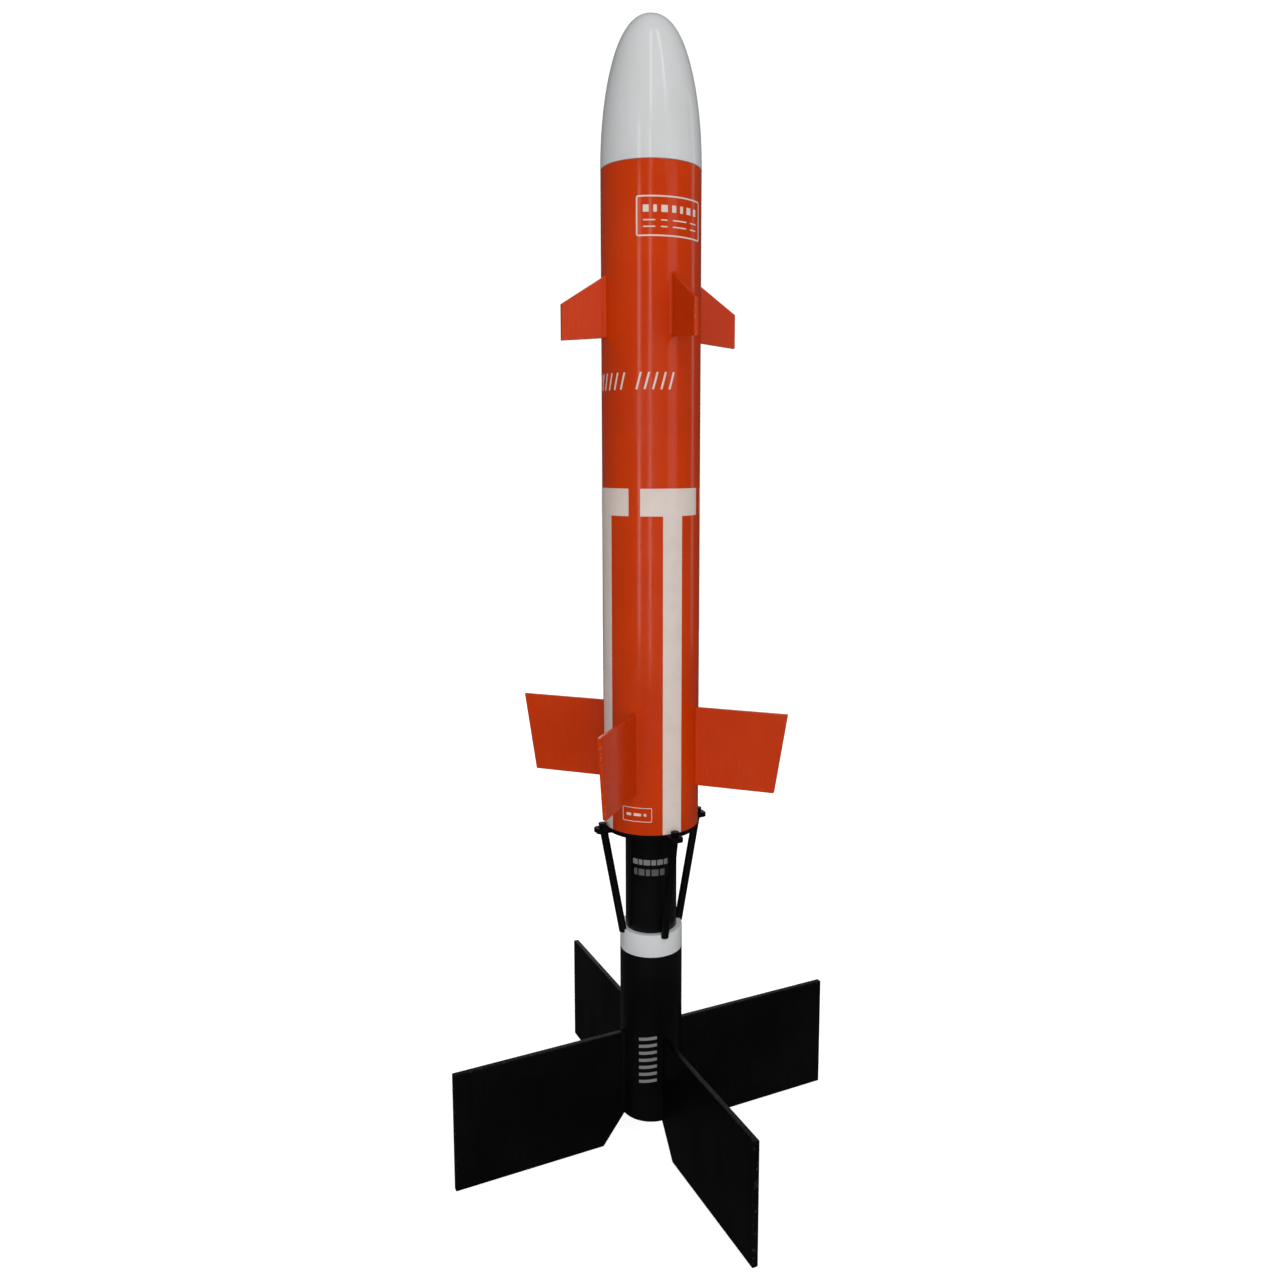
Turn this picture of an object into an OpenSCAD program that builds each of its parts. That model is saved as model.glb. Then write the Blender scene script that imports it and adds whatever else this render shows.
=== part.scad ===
// Model rocket: a wide upper body on a slim stuffer tube, with struts down to a finned booster.
// Z = 0 is the floor under the booster fins, +Z points to the nose, and the rocket's axis is the Z axis.
// Every fin, wing, canard and strut is drawn along +X and then turned about Z.

/* [Upper body] */
// Outside diameter of the body tube
body_d = 76.2; // [70:0.1:80]
// Wall of the body tube
body_wall = 1.3; // [0.8:0.1:2]
// Height of the body tube's lower end above the floor
body_bottom = 272.8; // [260:0.1:290]
// Length of the body tube
body_len = 503.6; // [480:0.1:540]

/* [Nose cone] */
// Length of the nose cone above the body tube
nose_len = 110.5; // [90:0.5:130]
// Bluntness of the nose: 1 is an ellipse, and a smaller value is blunter
nose_power = 0.84; // [0.8:0.02:1]
// Wall of the moulded nose cone
nose_wall = 1.6; // [1.2:0.1:2.4]
// Length of the shoulder that slides into the body tube
shoulder_len = 50; // [40:1:60]
// Gap between the nose cone and the body tube
nose_gap = 0.3; // [0.3:0.05:0.5]
// Thickness of the bulkhead that closes the shoulder
nose_bulkhead_t = 3.2; // [2.4:0.1:4]
// Height of the ballast slug in the tip of the nose
nose_weight_len = 34; // [20:1:45]

/* [Canards] */
// Height of the canards' lower root corner above the floor
canard_bottom = 652.7; // [600:0.1:680]
// Root chord of a canard
canard_root = 45.6; // [30:0.1:55]
// Tip chord of a canard
canard_tip = 26.3; // [15:0.1:40]
// Drop of the lower tip corner below the lower root corner
canard_drop = 3.4; // [0:0.1:6]
// Distance of a canard's tip from the rocket's axis
canard_reach = 73.3; // [60:0.1:90]
// Thickness of the canards and the wings
wing_t = 3.2; // [2:0.1:5]

/* [Wings] */
// Height of the wings' lower edge above the floor
wing_bottom = 305.6; // [300:0.1:320]
// Height of a wing from its lower edge to its upper edge
wing_chord = 63.4; // [50:0.1:80]
// Distance of a wing's upper tip corner from the axis
wing_reach_top = 111.1; // [90:0.1:130]
// Distance of a wing's lower tip corner from the axis
wing_reach_bottom = 101; // [80:0.1:120]

/* [Booster] */
// Outside diameter of the booster tube
booster_d = 50.8; // [48:0.1:56]
// Wall of the booster tube
booster_wall = 0.9; // [0.6:0.1:1.5]
// Height of the booster tube's lower end above the floor
booster_bottom = 24.6; // [22:0.1:30]
// Length of the booster tube below its collar
booster_len = 141.8; // [130:0.1:160]
// Height of the white collar on the booster tube
collar_h = 18.5; // [14:0.1:24]
// Length of the collar's spigot inside the booster tube
spigot_len = 6.4; // [4:0.1:10]

/* [Booster fins] */
// Height of a booster fin at its tip
fin_chord = 96.1; // [80:0.1:110]
// Distance of a booster fin's tip from the axis
fin_reach = 168.5; // [140:0.5:190]
// Distance from the axis at which the lower edge starts to rise to the tube
fin_kink = 44.2; // [35:0.1:60]
// Thickness of the booster fins
fin_t = 4.76; // [3:0.01:6]

/* [Struts] */
// Diameter of a strut's dowel
strut_d = 6.35; // [5:0.05:8]
// Distance of a strut's centre line from the axis at the collar's top
strut_foot_r = 25.6; // [25:0.1:27]
// Distance of a strut's centre line from the axis at the body tube's lower end
strut_head_r = 42.2; // [42:0.1:44]
// Depth that a strut's foot sinks into the collar
strut_sink = 2.5; // [1:0.1:4]
// Height of a strut's head above the body tube's lower end
strut_rise = 3.7; // [1:0.1:6]
// Thickness of the strut plate under the body tube
plate_t = 4; // [3:0.1:6]
// Distance of an ear's end from the axis
ear_reach = 48.8; // [47:0.1:54]
// Width of an ear of the strut plate
ear_w = 10; // [9:0.1:14]

/* [Stuffer tube and rings] */
// Outside diameter of the stuffer tube
stuffer_d = 41.6; // [40:0.1:44]
// Wall of the stuffer tube
stuffer_wall = 0.6; // [0.5:0.1:1.2]
// Length of the stuffer tube inside the body tube
stuffer_rise = 253.2; // [220:0.1:280]
// Thickness of the centring rings
ring_t = 3.2; // [2:0.1:5]

/* [Motor] */
// Outside diameter of the motor case
motor_d = 28.7; // [28:0.1:29]
// Length of the motor case
motor_len = 114; // [90:1:120]
// Wall of the motor case
motor_wall = 2.4; // [2:0.1:3]
// Inside diameter of the motor mount tube
mount_d = 29.3; // [29.3:0.1:30]
// Wall of the motor mount tube
mount_wall = 0.85; // [0.6:0.05:1]
// Length of the motor mount tube
mount_len = 104; // [95:1:110]
// Radius of the nozzle's throat
throat_r = 3.2; // [2:0.1:4]

/* [Motor retainer] */
// Wall of the threaded retainer body
retainer_wall = 1.7; // [1.5:0.1:2]
// Length of the threaded retainer body
retainer_len = 12; // [9:0.5:14]
// Outside diameter of the retainer cap
cap_d = 38.4; // [38.4:0.1:39.4]
// Depth of the retainer cap
cap_len = 13.2; // [11:0.1:15]
// Number of grip notches around the cap
cap_notches = 16; // [8:1:20]

/* [Launch lugs] */
// Bore of a launch lug, for a 6.35 mm launch rod
lug_bore = 6.9; // [6.6:0.1:7.2]
// Outside diameter of a launch lug
lug_d = 8.3; // [8:0.1:10]
// Length of a launch lug
lug_len = 50.8; // [30:0.1:60]
// Angle of the launch lugs around the body, from +X towards +Y
lug_angle = 22.5; // [18:0.5:27]
// Height of the lower launch lug's lower end above the floor
lug_low_z = 380; // [375:1:400]
// Height of the upper launch lug's lower end above the floor
lug_high_z = 592; // [540:1:600]

/* [Recovery gear] */
// Height of the wadding above the stuffer tube
wadding_h = 22; // [15:1:30]
// Diameter of the rolled parachute
chute_d = 66; // [50:1:68]
// Length of the rolled parachute
chute_len = 122; // [90:1:130]

/* [Tee stripes] */
// Height of a tee's crossbar above the body tube's lower end
tee_rise = 247.6; // [200:0.1:260]
// Height of the crossbar
tee_bar_h = 20.6; // [12:0.1:30]
// Angle that the crossbar covers around the tube
tee_bar_angle = 76; // [60:1:84]
// Angle that the tee's stem covers around the tube
tee_stem_angle = 24; // [16:1:30]
// Thickness of the vinyl stripes
vinyl_t = 0.15; // [0.1:0.01:0.3]

/* [Hidden] */
$fn = 96;

orange = "#c23c0c";
white = "#e4e4e0";
black = "#161616";
plywood = "#c9a36b";
kraft = "#a8814f";
steel = "#9a9a9c";

// A cutter passes this far beyond what it cuts.
over = 1;

body_r = body_d / 2;
body_in_r = body_r - body_wall;
body_top = body_bottom + body_len;
booster_r = booster_d / 2;
booster_in_r = booster_r - booster_wall;
booster_top = booster_bottom + booster_len;
collar_top = booster_top + collar_h;
stuffer_r = stuffer_d / 2;
stuffer_in_r = stuffer_r - stuffer_wall;
stuffer_top = body_bottom + stuffer_rise;

// The struts' centre line leans outwards from the collar to the strut plate.
strut_z0 = collar_top - strut_sink;
strut_z1 = body_bottom + strut_rise;
strut_lean = atan((strut_head_r - strut_foot_r) / (body_bottom - collar_top));
strut_spare = 4 * strut_d;

// Nose cone
nose_base = body_top + nose_gap;
nose_tip = nose_base + nose_len;
shoulder_r = body_in_r - nose_gap;
shoulder_in_r = shoulder_r - nose_wall;
shoulder_bottom = nose_base - shoulder_len;
nose_steps = 36;
// The hollow's outline starts this many degrees above the nose's base, where the shoulder's wall meets it.
join_angle = 2;
bulkhead_inset = 2;
bulkhead_z = shoulder_bottom + bulkhead_inset;
eye_r = 6;
eye_wire_r = 1.8;
bolt_r = 2;
bolt_rise = 7;
eye_drop = 16;
nut_h = 3.2;
nut_across = 7;

// Tabs that pass through the tube walls to the stuffer tube
fin_tab_inset = 6;
fin_tab_z = [booster_bottom + fin_tab_inset, fin_chord - fin_tab_inset];
wing_tab_inset = 5;
wing_tab_z = [wing_bottom + wing_tab_inset, wing_bottom + wing_chord - wing_tab_inset];

// Motor and retainer
mount_in_r = mount_d / 2;
mount_r = mount_in_r + mount_wall;
mount_inset = 1.4;
mount_bottom = booster_bottom + mount_inset;
case_r = motor_d / 2;
case_in_r = case_r - motor_wall;
flange_overhang = 0.3;
flange_r = mount_r + flange_overhang;
flange_h = 2.9;
axial_gap = 0.3;
case_bottom = mount_bottom - axial_gap - flange_h;
case_top = case_bottom + motor_len;
cap_lip_t = 2;
cap_bottom = case_bottom - axial_gap - cap_lip_t;
cap_gap = 0.3;
cap_in_r = mount_r + retainer_wall + cap_gap;
// A grip notch is a groove of radius notch_r whose centre is notch_out outside the cap.
notch_r = 1.3;
notch_out = 0.5;
notch_h = 4;
nozzle_h = 16;
bell_r = throat_r * 2.2;
inlet_r = throat_r * 1.8;
core_r = throat_r * 1.5;
// The throat runs between these shares of the nozzle's height.
throat_from = 0.55;
throat_to = 0.7;
grain_h = 58;
delay_h = 18;
ejection_cap_h = 5;

// Recovery gear
chute_r = chute_d / 2;
chute_round = 8;
wadding_gap = 1.8;
wadding_r = body_in_r - wadding_gap;
cord_mount_t = 2;
cord_mount_w = 25;
cord_mount_h = 34;
cord_mount_rise = 134;
cord_mount_z = stuffer_top + cord_mount_rise;

// ---- Shared shapes ----

// A pipe from height z0 to height z1
module pipe(outer, inner, z0, z1) {
  difference() {
    translate([0, 0, z0]) cylinder(r = outer, h = z1 - z0);
    translate([0, 0, z0 - over]) cylinder(r = inner, h = z1 - z0 + 2 * over);
  }
}

// A plate of thickness t that stands in the XZ plane, from an outline of [distance, height] points
module plate(outline, t) {
  translate([0, t / 2, 0])
    rotate([90, 0, 0])
      linear_extrude(height = t)
        polygon(outline);
}

// A glued tab from the stuffer tube out into the plate's root
module tab(outer, z_range, t) {
  translate([stuffer_r, -t / 2, z_range[0]])
    cube([outer - stuffer_r, t, z_range[1] - z_range[0]]);
}

// A plate cut to the tube that it stands on
module rooted_plate(outline, t, tube_r) {
  difference() {
    plate(outline, t);
    cylinder(r = tube_r, h = nose_tip);
  }
}

// A hexagonal nut on the Z axis with its lower face at height z
module nut(z) {
  difference() {
    translate([0, 0, z]) cylinder(d = nut_across / cos(30), h = nut_h, $fn = 6);
    translate([0, 0, z - over]) cylinder(r = bolt_r, h = nut_h + 2 * over);
  }
}

// ---- Nose ----

// One point of the nose's outline, for an angle from 0 at the base to 90 at the tip
function nose_point(angle, radius, length) =
  [radius * pow(max(0, cos(angle)), nose_power), nose_base + length * sin(angle)];

// The nose's outline between two angles
function nose_curve(from, to, radius, length) =
  [for (i = [0 : nose_steps]) nose_point(from + (to - from) * i / nose_steps, radius, length)];

module nose_cone() {
  color(white)
    rotate_extrude()
      polygon(concat(
        [[shoulder_in_r, shoulder_bottom], [shoulder_r, shoulder_bottom], [shoulder_r, nose_base]],
        nose_curve(0, 90, body_r, nose_len),
        nose_curve(90, join_angle, body_r - nose_wall, nose_len - nose_wall),
        [[shoulder_in_r, nose_point(join_angle, body_r, nose_len - nose_wall)[1]]]
      ));
}

module nose_bulkhead() {
  color(plywood) pipe(shoulder_in_r, bolt_r, bulkhead_z, bulkhead_z + nose_bulkhead_t);
}

module nose_eye_bolt() {
  color(steel) {
    translate([0, 0, bulkhead_z - eye_drop + eye_r])
      cylinder(r = bolt_r, h = eye_drop - eye_r + nose_bulkhead_t + bolt_rise);
    translate([0, 0, bulkhead_z - eye_drop])
      rotate([90, 0, 0])
        rotate_extrude()
          translate([eye_r, 0])
            circle(r = eye_wire_r);
  }
}

module nose_eye_nuts() {
  color(steel) {
    nut(bulkhead_z + nose_bulkhead_t);
    nut(bulkhead_z - nut_h);
  }
}

// A slug of ballast that fills the tip of the hollow nose
module nose_weight() {
  inner_r = body_r - nose_wall;
  inner_len = nose_len - nose_wall;
  low = asin(1 - nose_weight_len / inner_len);
  curve = nose_curve(low, 90, inner_r, inner_len);
  color("dimgray")
    rotate_extrude()
      intersection() {
        polygon(concat([[0, curve[0][1]]], curve));
        polygon(concat([[0, nose_base]], nose_curve(90, join_angle, inner_r, inner_len)));
      }
}

// ---- Upper body ----

module body_tube() {
  color(orange)
    difference() {
      pipe(body_r, body_in_r, body_bottom, body_top);
      for (k = [0 : 3])
        rotate([0, 0, 45 + 90 * k])
          tab(body_r + over, wing_tab_z, wing_t);
    }
}

// A T of vinyl on the tube's +X side, cut from a thin skin of the tube
module tee() {
  bar_z = body_bottom + tee_rise;
  bar_w = 2 * body_r * sin(tee_bar_angle / 2);
  stem_w = 2 * body_r * sin(tee_stem_angle / 2);
  intersection() {
    pipe(body_r + vinyl_t, body_r, body_bottom, bar_z + tee_bar_h);
    union() {
      translate([0, -bar_w / 2, bar_z]) cube([body_d, bar_w, tee_bar_h]);
      translate([0, -stem_w / 2, body_bottom]) cube([body_d, stem_w, tee_rise]);
    }
  }
}

module tee_stripes() {
  color(white)
    for (k = [0 : 3])
      rotate([0, 0, 90 * k])
        tee();
}

module canard(k) {
  tip_z = canard_bottom - canard_drop;
  inside = body_r - body_wall;
  slope = canard_drop / (canard_reach - body_r);
  lead = (canard_bottom + canard_root - tip_z - canard_tip) / (canard_reach - body_r);
  color(orange)
    rotate([0, 0, 90 * k])
      rooted_plate([
        [inside, canard_bottom + slope * body_wall],
        [canard_reach, tip_z],
        [canard_reach, tip_z + canard_tip],
        [inside, canard_bottom + canard_root + lead * body_wall]
      ], wing_t, body_r);
}

module wing(k) {
  color(orange)
    rotate([0, 0, 45 + 90 * k]) {
      rooted_plate([
        [body_in_r, wing_bottom],
        [wing_reach_bottom, wing_bottom],
        [wing_reach_top, wing_bottom + wing_chord],
        [body_in_r, wing_bottom + wing_chord]
      ], wing_t, body_r);
      tab(body_r + over, wing_tab_z, wing_t);
    }
}

module body_ring(z) {
  color(plywood) pipe(body_in_r, stuffer_r, z, z + ring_t);
}

module stuffer_tube() {
  color(black) pipe(stuffer_r, stuffer_in_r, booster_bottom, stuffer_top);
}

// A tube with its outer face cut to the body and a foot that glues it there
module launch_lug(z) {
  lug_r = body_r + lug_d / 2;
  color(orange)
    rotate([0, 0, lug_angle])
      difference() {
        union() {
          translate([lug_r, 0, z]) cylinder(d = lug_d, h = lug_len);
          translate([body_in_r, -lug_d / 4, z]) cube([lug_r - body_in_r, lug_d / 2, lug_len]);
        }
        translate([lug_r, 0, z - over]) cylinder(d = lug_bore, h = lug_len + 2 * over);
        cylinder(r = body_r, h = nose_tip);
      }
}

// ---- Struts ----

// The slanted dowel along +X, cut flat at both ends
module strut_bar() {
  intersection() {
    translate([strut_foot_r, 0, collar_top])
      rotate([0, strut_lean, 0])
        translate([0, 0, -strut_spare])
          cylinder(d = strut_d, h = body_bottom - collar_top + 2 * strut_spare);
    translate([0, -strut_d, strut_z0])
      cube([2 * strut_head_r, 2 * strut_d, strut_z1 - strut_z0]);
  }
}

module strut(k) {
  color(black)
    rotate([0, 0, 90 * k])
      strut_bar();
}

// A disc under the body tube with four ears that hold the struts' heads
module strut_plate() {
  color(black)
    difference() {
      union() {
        translate([0, 0, body_bottom - plate_t]) cylinder(r = body_r - body_wall / 2, h = plate_t);
        for (k = [0 : 3])
          rotate([0, 0, 90 * k])
            translate([stuffer_r, -ear_w / 2, body_bottom - plate_t])
              cube([ear_reach - stuffer_r, ear_w, plate_t]);
      }
      translate([0, 0, body_bottom - plate_t - over]) cylinder(r = stuffer_r, h = plate_t + 2 * over);
      for (k = [0 : 3])
        rotate([0, 0, 90 * k])
          strut_bar();
    }
}

// ---- Booster ----

module booster_collar() {
  color(white)
    difference() {
      union() {
        pipe(booster_r, stuffer_r, booster_top, collar_top);
        pipe(booster_in_r, stuffer_r, booster_top - spigot_len, booster_top);
      }
      for (k = [0 : 3])
        rotate([0, 0, 90 * k])
          strut_bar();
    }
}

module booster_tube() {
  color(black)
    difference() {
      pipe(booster_r, booster_in_r, booster_bottom, booster_top);
      for (k = [0 : 3])
        rotate([0, 0, 90 * k])
          tab(booster_r + over, fin_tab_z, fin_t);
    }
}

module booster_ring(z) {
  color(plywood) pipe(booster_in_r, stuffer_r, z, z + ring_t);
}

module booster_fin(k) {
  rise = booster_bottom * booster_wall / (fin_kink - booster_r);
  color(black)
    rotate([0, 0, 90 * k]) {
      rooted_plate([
        [booster_in_r, booster_bottom + rise],
        [fin_kink, 0],
        [fin_reach, 0],
        [fin_reach, fin_chord],
        [booster_in_r, fin_chord]
      ], fin_t, booster_r);
      tab(booster_r + over, fin_tab_z, fin_t);
    }
}

// ---- Motor mount, retainer and motor ----

module motor_mount_tube() {
  color(kraft) pipe(mount_r, mount_in_r, mount_bottom, mount_bottom + mount_len);
}

module motor_ring(z) {
  color(plywood) pipe(stuffer_in_r, mount_r, z, z + ring_t);
}

module retainer_body() {
  color(black) pipe(mount_r + retainer_wall, mount_r, mount_bottom, mount_bottom + retainer_len);
}

module retainer_cap() {
  cap_r = cap_d / 2;
  color("gray")
    difference() {
      translate([0, 0, cap_bottom]) cylinder(r = cap_r, h = cap_len);
      translate([0, 0, cap_bottom + cap_lip_t]) cylinder(r = cap_in_r, h = cap_len);
      translate([0, 0, cap_bottom - over]) cylinder(r = case_in_r, h = cap_len);
      for (k = [0 : cap_notches - 1])
        rotate([0, 0, 360 * k / cap_notches])
          translate([cap_r + notch_out, 0, cap_bottom - over])
            cylinder(r = notch_r, h = notch_h + over);
    }
}

module motor_case() {
  color(kraft)
    difference() {
      union() {
        translate([0, 0, case_bottom]) cylinder(r = case_r, h = motor_len);
        translate([0, 0, case_bottom]) cylinder(r = flange_r, h = flange_h);
      }
      translate([0, 0, case_bottom - over]) cylinder(r = case_in_r, h = motor_len + 2 * over);
    }
}

// A plug with a bell that opens downwards
module motor_nozzle() {
  color("dimgray")
    rotate_extrude()
      polygon([
        [bell_r, case_bottom],
        [case_in_r, case_bottom],
        [case_in_r, case_bottom + nozzle_h],
        [inlet_r, case_bottom + nozzle_h],
        [throat_r, case_bottom + nozzle_h * throat_to],
        [throat_r, case_bottom + nozzle_h * throat_from]
      ]);
}

module propellant_grain() {
  z = case_bottom + nozzle_h;
  color("#3a3a38") pipe(case_in_r, core_r, z, z + grain_h);
}

module delay_grain() {
  color("#6b6b66")
    translate([0, 0, case_bottom + nozzle_h + grain_h])
      cylinder(r = case_in_r, h = delay_h);
}

module ejection_cap() {
  color("firebrick")
    translate([0, 0, case_top - ejection_cap_h])
      cylinder(r = case_in_r, h = ejection_cap_h);
}

// ---- Recovery gear ----

// A closed roll with rounded ends
module soft_roll(radius, z0, z1) {
  rotate_extrude() {
    translate([0, z0]) square([radius - chute_round, z1 - z0]);
    translate([0, z0 + chute_round]) square([radius, z1 - z0 - 2 * chute_round]);
    for (z = [z0 + chute_round, z1 - chute_round])
      translate([radius - chute_round, z])
        circle(r = chute_round);
  }
}

module parachute() {
  z = stuffer_top + wadding_h;
  color("tomato") soft_roll(chute_r, z, z + chute_len);
}

module wadding() {
  color("wheat") soft_roll(wadding_r, stuffer_top, stuffer_top + wadding_h);
}

// A folded paper anchor glued inside the body tube
module shock_cord_mount() {
  color(kraft)
    rotate([0, 0, lug_angle + 180])
      intersection() {
        pipe(body_in_r, body_in_r - cord_mount_t, cord_mount_z, cord_mount_z + cord_mount_h);
        translate([0, -cord_mount_w / 2, cord_mount_z]) cube([body_r, cord_mount_w, cord_mount_h]);
      }
}

// ---- Nodes ----

nose_cone();
nose_bulkhead();
nose_eye_bolt();
nose_eye_nuts();
nose_weight();
body_tube();
tee_stripes();
canard(0);  // canard_1
canard(1);  // canard_2
canard(2);  // canard_3
canard(3);  // canard_4
wing(0);  // wing_1
wing(1);  // wing_2
wing(2);  // wing_3
wing(3);  // wing_4
body_ring(stuffer_top - 2 * ring_t);  // body_ring_front
body_ring(wing_bottom + wing_chord + ring_t);  // body_ring_middle
body_ring(body_bottom);  // body_ring_rear
stuffer_tube();
strut_plate();
strut(0);  // strut_1
strut(1);  // strut_2
strut(2);  // strut_3
strut(3);  // strut_4
booster_collar();
booster_tube();
booster_ring(fin_chord - ring_t);  // booster_ring_front
booster_ring(booster_bottom);  // booster_ring_rear
booster_fin(0);  // booster_fin_1
booster_fin(1);  // booster_fin_2
booster_fin(2);  // booster_fin_3
booster_fin(3);  // booster_fin_4
launch_lug(lug_high_z);  // launch_lug_upper
launch_lug(lug_low_z);  // launch_lug_lower
motor_mount_tube();
motor_ring(mount_bottom + mount_len - 2 * ring_t);  // motor_ring_front
motor_ring(mount_bottom + retainer_len);  // motor_ring_rear
retainer_body();
retainer_cap();
motor_case();
motor_nozzle();
propellant_grain();
delay_grain();
ejection_cap();
parachute();
wadding();
shock_cord_mount();
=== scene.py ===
"""Looks of the model rocket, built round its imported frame. Sizes come from the CAD nodes, in metres."""

from math import acos, asin, atan2, cos, hypot, pi, radians, sin, sqrt, tan

import bmesh
import bpy
import numpy as np
from mathutils import Matrix, Vector, noise
from mathutils.geometry import convex_hull_2d


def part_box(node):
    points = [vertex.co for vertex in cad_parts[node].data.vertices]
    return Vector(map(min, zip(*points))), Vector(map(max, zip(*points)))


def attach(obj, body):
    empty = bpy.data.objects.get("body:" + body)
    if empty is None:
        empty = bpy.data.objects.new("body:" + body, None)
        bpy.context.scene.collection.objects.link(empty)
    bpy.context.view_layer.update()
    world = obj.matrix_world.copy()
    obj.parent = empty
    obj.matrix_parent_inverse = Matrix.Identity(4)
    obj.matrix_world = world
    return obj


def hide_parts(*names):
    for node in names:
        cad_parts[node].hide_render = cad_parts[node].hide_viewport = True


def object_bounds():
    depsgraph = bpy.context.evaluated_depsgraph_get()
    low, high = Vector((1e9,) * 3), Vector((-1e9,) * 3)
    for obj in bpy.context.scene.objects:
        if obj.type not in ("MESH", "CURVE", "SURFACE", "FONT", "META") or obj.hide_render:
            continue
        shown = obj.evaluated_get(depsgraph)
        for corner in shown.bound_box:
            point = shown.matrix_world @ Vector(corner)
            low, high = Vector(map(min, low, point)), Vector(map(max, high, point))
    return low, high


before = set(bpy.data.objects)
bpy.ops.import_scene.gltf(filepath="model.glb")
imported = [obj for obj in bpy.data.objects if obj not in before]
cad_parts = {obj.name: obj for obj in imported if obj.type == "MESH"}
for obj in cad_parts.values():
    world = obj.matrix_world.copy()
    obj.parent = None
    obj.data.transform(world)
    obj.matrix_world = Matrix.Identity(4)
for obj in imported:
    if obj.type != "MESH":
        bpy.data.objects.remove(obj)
cad_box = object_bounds()

MM = 0.001

# The camera stands level with the tube's upper half and looks a little down.
CAMERA_AZIMUTH = -25.74
CAMERA_DISTANCE = 0.8237
CAMERA_HEIGHT = 0.5675
CAMERA_DIP = 7.41
CAMERA_LENS = 29.62
CAMERA_SHIFT = (-0.0086, -0.0392)

# Steps round the turned pieces and round a rounded corner
TURN_STEPS = 192
CAP_TURN_STEPS = 384
CASE_TURN_STEPS = 128
SMALL_TURN_STEPS = 96
LUG_TURN_STEPS = 64
BOLT_TURN_STEPS = 32
ROUND_STEPS = 4

# An edge sharper than this, in degrees, isn't shaded smooth. Places nearer than TINY count as one.
SHARP_ANGLE = 35
TINY = 0.02 * MM

# Small shapes that the CAD leaves out
RIM_ROUND = 0.3 * MM
RIM_SHARE = 0.45
PLATE_BEVEL = 0.55 * MM
FIN_BEVEL = 0.7 * MM
WEAR_BAND = 1.6 * MM
FILLET = 2.2 * MM
FIN_FILLET = 3.0 * MM
LUG_FILLET = 1.6 * MM
FILLET_TAPER = 4 * MM
FILLET_STEPS = 7
VINYL = 0.15 * MM
VINYL_SINK = 0.03 * MM
BEND_STEP = 1 * MM

# The soft canopy before folding: a hexagon
CANOPY_WIDTH = 0.762
CANOPY_AREA = CANOPY_WIDTH**2 * cos(radians(30))

# Directions round the rocket, in degrees from +X towards +Y
FIN_TURNS = (0, 90, 180, 270)
WING_TURNS = (45, 135, 225, 315)
LUG_TURN = 22.5

# Paints, as linear colours
ORANGE = {"light": (0.70, 0.050, 0.0005), "deep": (0.62, 0.040, 0.0005)}
WHITE = {"light": (0.79, 0.815, 0.83), "deep": (0.74, 0.75, 0.75)}
BLACK = {"light": (0.0046, 0.0046, 0.0049), "deep": (0.0016, 0.0016, 0.0017), "dusty": 0.02}
BLACK_WOOD = {**BLACK, "grain": True, "under": (0.045, 0.040, 0.036)}
SANDED_PRIMER = (0.60, 0.16, 0.07)
BARE_PAPER = (0.42, 0.29, 0.17)

# CAD nodes whose shape stays, and their materials. Every centring ring is plywood.
KEPT_NODES = {
    **{node: "plywood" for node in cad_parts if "_ring_" in node},
    "nose_bulkhead": "plywood",
    "nose_weight": "ballast_clay",
    "motor_mount_tube": "kraft_tube",
    "shock_cord_mount": "kraft_tube",
    "propellant_grain": "propellant",
    "delay_grain": "delay_charge",
    "ejection_cap": "cap_plastic",
}


# ---- Measures taken from the frame ----


def turned(x, y, turn):
    """x and y after a turn about Z, in degrees. They may be numbers or arrays."""
    cosine, sine = cos(radians(turn)), sin(radians(turn))
    return x * cosine - y * sine, x * sine + y * cosine


def polar(distance, angle):
    return distance * cos(angle), distance * sin(angle)


def facing(distance, turn, height):
    """A place at that distance from the axis, so many degrees round from azimuth 0, which is -Y."""
    return distance * sin(radians(turn)), -distance * cos(radians(turn)), height


def points_of(node, turn=0.0):
    """A node's points, turned back about Z by so many degrees."""
    points = np.array([vertex.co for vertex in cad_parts[node].data.vertices])
    x, y = turned(points[:, 0], points[:, 1], -turn)
    return np.column_stack((x, y, points[:, 2]))


def at_height(points, height):
    return points[np.abs(points[:, 2] - height) < TINY]


def radii(node, height=None):
    """The smallest and largest distance from the axis of a node's points, or of those at a height."""
    points = points_of(node) if height is None else at_height(points_of(node), height)
    distance = np.hypot(points[:, 0], points[:, 1])
    return float(distance.min()), float(distance.max())


def heights(node):
    """The lowest and the highest point of a node."""
    low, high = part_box(node)
    return low.z, high.z


def extent(node):
    """The smallest and largest distance of a node from the axis, and its lowest and highest point."""
    return (*radii(node), *heights(node))


def plate_outline(node, turn, root):
    """The (distance, height) outline of a plate beyond the radius root, and its thickness.

    The outline runs from the lower root corner round the plate to the upper root corner.
    """
    points = points_of(node, turn)
    half = points[:, 1].max()
    face = points[np.abs(points[:, 1] - half) < TINY]
    corners = [Vector((x, z)) for x, _, z in face if x > root - 2 * RIM_ROUND]
    hull = [corners[index] for index in convex_hull_2d(corners)]
    hull = [corner for index, corner in enumerate(hull) if (corner - hull[index - 1]).length > TINY]
    nearest = min(corner.x for corner in hull)
    roots = [corner for corner in hull if corner.x < nearest + TINY]
    first = hull.index(min(roots, key=lambda corner: corner.y))
    return [tuple(corner) for corner in hull[first:] + hull[:first]], 2 * float(half)


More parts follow.
